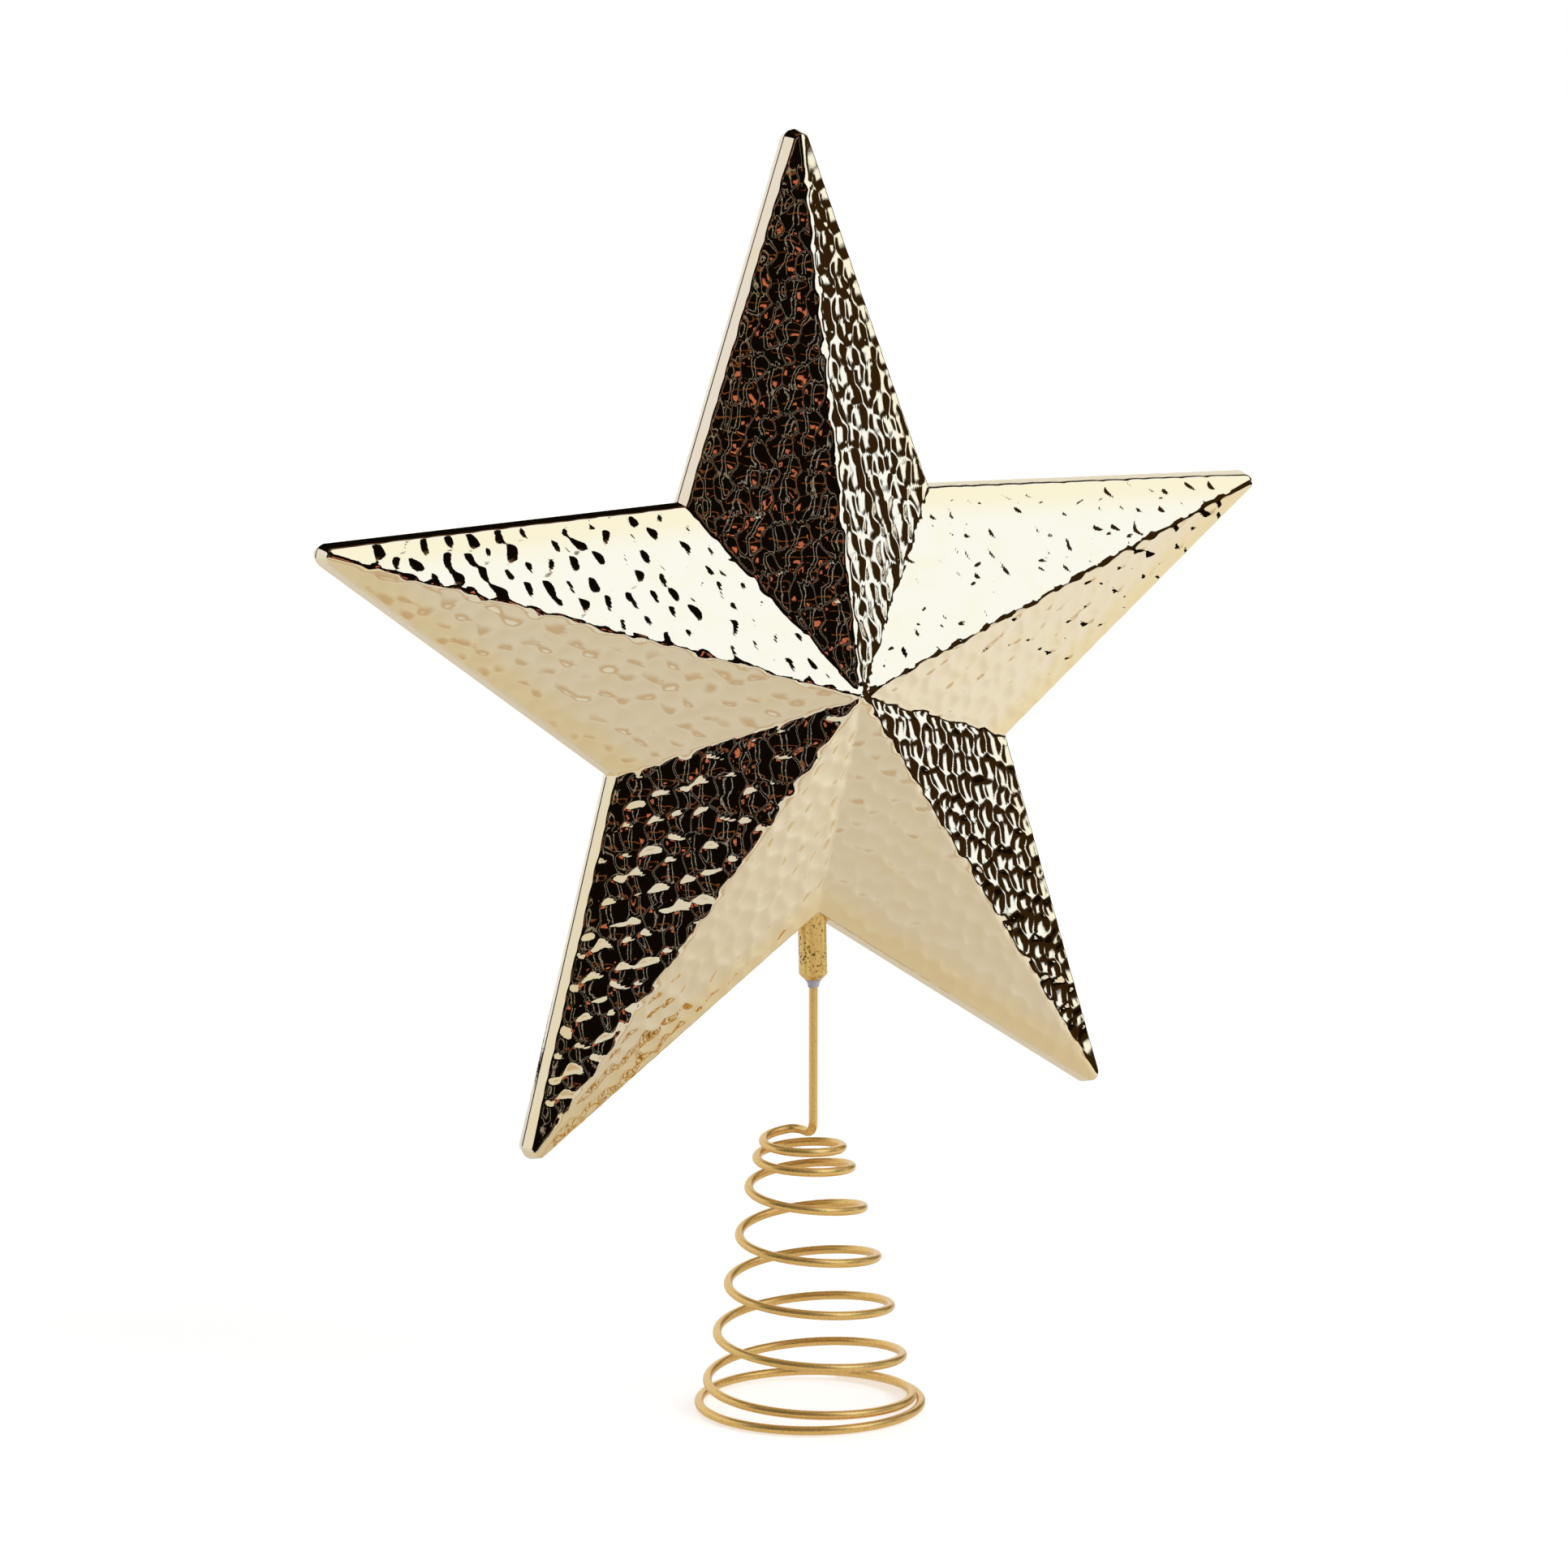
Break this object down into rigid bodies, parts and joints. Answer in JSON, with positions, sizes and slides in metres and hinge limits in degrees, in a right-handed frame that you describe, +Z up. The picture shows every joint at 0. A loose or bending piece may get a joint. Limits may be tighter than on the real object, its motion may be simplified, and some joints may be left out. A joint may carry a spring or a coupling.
{
  "type": "star tree topper",
  "caption": "Hollow five-pointed star tree topper with hammered gold facets, on a wire stem wound into a conical spring that slips over the tree's leader.",
  "frame": {"origin": "on the spring's axis, at the level that the lowest turn stands on", "axes": "+Z up along the stem, -Y the way that the star faces, +X to the star's right as seen from the front"},
  "size_m": [0.2308, 0.0524, 0.2852],
  "materials": {
    "star_plating": "mirror champagne-gold plating on moulded plastic, hammered all over the facets",
    "socket_plating": "gold plating, lightly pitted",
    "wire_paint": "satin gold paint on round steel wire",
    "glue": "clear hot glue, slightly grey"
  },
  "bodies": {
    "seat": {"seat_turns": "wire_paint"},
    "lower_coil": {"lower_turns": "wire_paint"},
    "middle_coil": {"middle_turns": "wire_paint"},
    "star": {"upper_turns": "wire_paint", "stem_wire": "wire_paint", "stem_socket": "socket_plating", "glue_bead": "glue", "front_shell": "star_plating", "back_shell": "star_plating"}
  },
  "joints": [
    {"name": "spring_compress", "type": "slide", "parent": "seat", "child": "lower_coil", "axis": [0, 0, 1], "range_m": [-0.012, 0.015], "stiffness_N_per_m": 730, "springref_m": 0.0014, "deforming": ["lower_turns"]},
    {"name": "spring_nod", "type": "hinge", "parent": "lower_coil", "child": "middle_coil", "pos_m": [0, 0, 0.036], "axis": [1, 0, 0], "range_deg": [-30, 30], "stiffness_Nm_per_rad": 0.233, "deforming": ["middle_turns"]},
    {"name": "spring_sway", "type": "hinge", "parent": "middle_coil", "child": "star", "pos_m": [0, 0, 0.053], "axis": [0, 1, 0], "range_deg": [-30, 30], "stiffness_Nm_per_rad": 0.233, "deforming": ["upper_turns"]}
  ]
}
